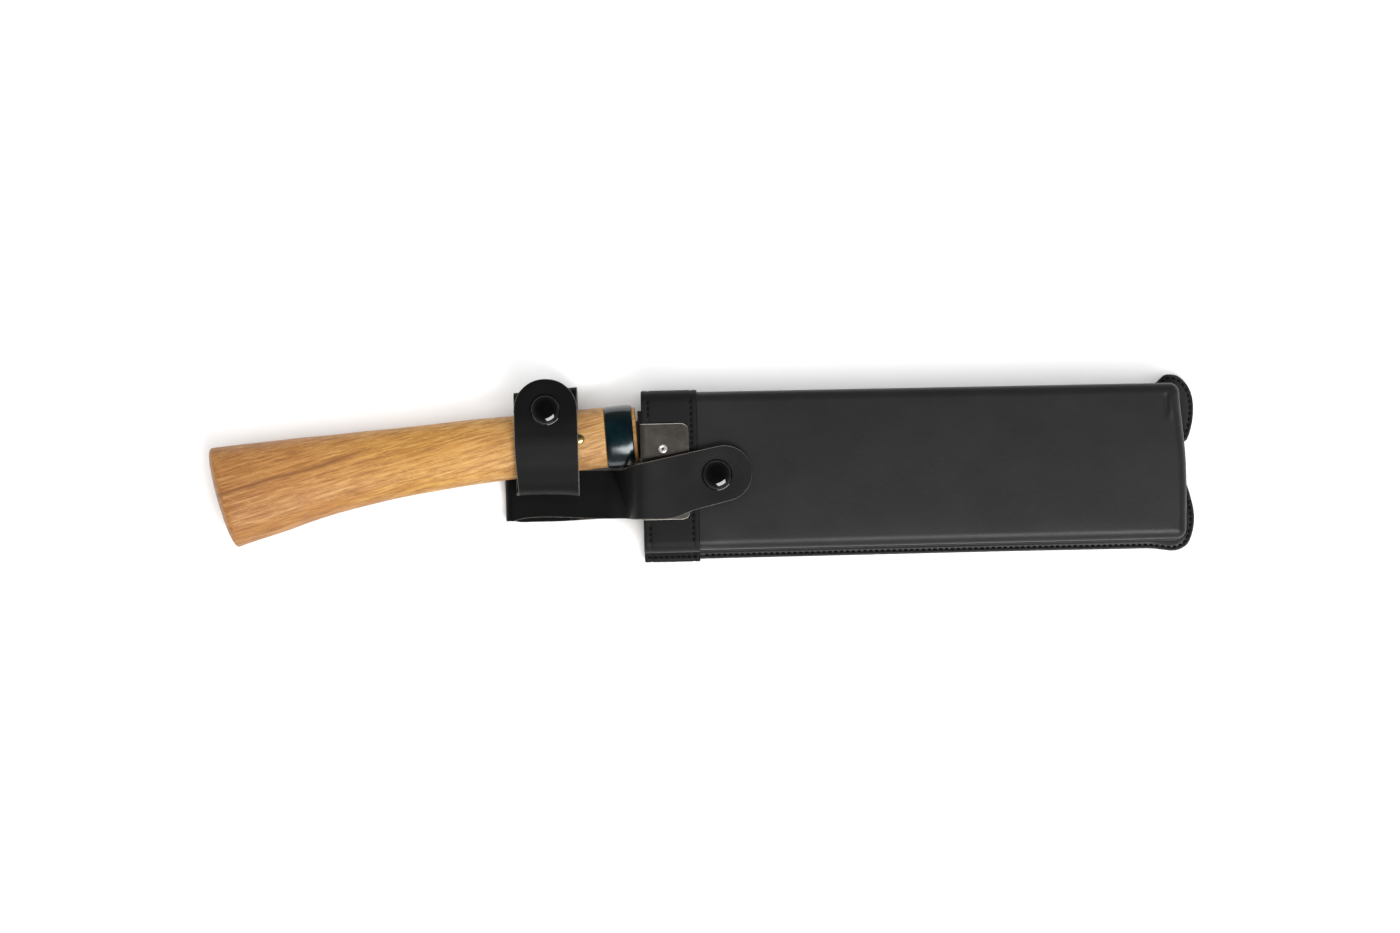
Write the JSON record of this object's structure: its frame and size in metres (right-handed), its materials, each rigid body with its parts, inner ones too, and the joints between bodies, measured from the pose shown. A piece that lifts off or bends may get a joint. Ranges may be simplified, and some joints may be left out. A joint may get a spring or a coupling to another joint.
{
  "type": "sheathed garden knife",
  "caption": "Garden knife with a curved oak handle in a flat black leather sheath with a stitched flange, steel mouth clip, belt loop and two snap straps.",
  "frame": {"origin": "centre of the whole sheathed tool seen from the front, on the surface that it lies on", "axes": "+X along the sheath from the handle's butt to the sheath's tip, +Y towards the blade's spine, +Z out of the sheath's front face"},
  "size_m": [0.4033, 0.0771, 0.0322],
  "materials": {
    "black_leather": "smooth black leather, dull sheen",
    "strap_leather": "black strap leather with a pale raw edge",
    "oak": "oiled oak",
    "core_wood": "plain softwood board",
    "blued_steel": "glossy blue-black heat finish",
    "forged_steel": "dark forge scale, ground edge",
    "stainless": "brushed stainless sheet",
    "bright_steel": "nickel plated",
    "brass": "polished brass",
    "black_enamel": "high gloss black enamel",
    "thread": "waxed black thread"
  },
  "bodies": {
    "sheath": {"sheath_cover": "black_leather", "edge_welt": "black_leather", "sheath_core_back": "core_wood", "sheath_core_front": "core_wood", "mouth_band": "black_leather", "mouth_clip_front": "stainless", "clip_rivets_front": "bright_steel", "cover_thread": "thread", "band_thread": "thread", "belt_loop": "strap_leather", "belt_strap_riser": "strap_leather", "belt_strap_bend": "strap_leather", "belt_loop_rivets": "bright_steel", "belt_snap_stud": "bright_steel", "belt_snap_post": "bright_steel", "handle_strap_base": "strap_leather", "handle_strap_bend": "strap_leather", "handle_strap_rivet": "bright_steel", "handle_snap_stud": "bright_steel", "handle_snap_post": "bright_steel"},
    "knife": {"blade": "forged_steel", "handle": "oak", "ferrule": "blued_steel", "handle_pin": "brass"},
    "belt_tab": {"belt_strap_tab": "strap_leather", "belt_snap_cap": "black_enamel", "belt_snap_socket": "bright_steel", "belt_snap_spring": "bright_steel"},
    "handle_tab": {"handle_strap_tab": "strap_leather", "handle_snap_cap": "black_enamel", "handle_snap_socket": "bright_steel", "handle_snap_spring": "bright_steel"}
  },
  "joints": [
    {"name": "knife_draw", "type": "slide", "parent": "sheath", "child": "knife", "axis": [-1, 0, 0], "range_m": [0, 0.265], "deforming": ["belt_strap_riser", "handle_strap_tab"]},
    {"name": "belt_strap_open", "type": "hinge", "parent": "sheath", "child": "belt_tab", "pos_m": [-0.025, -0.0099, 0.0292], "axis": [0, -1, 0], "range_deg": [0, 150], "deforming": ["belt_strap_bend"]},
    {"name": "handle_strap_open", "type": "hinge", "parent": "sheath", "child": "handle_tab", "pos_m": [-0.0627, -0.0089, 0.00715], "axis": [1, 0, 0], "range_deg": [0, 90], "deforming": ["handle_strap_bend"]}
  ]
}
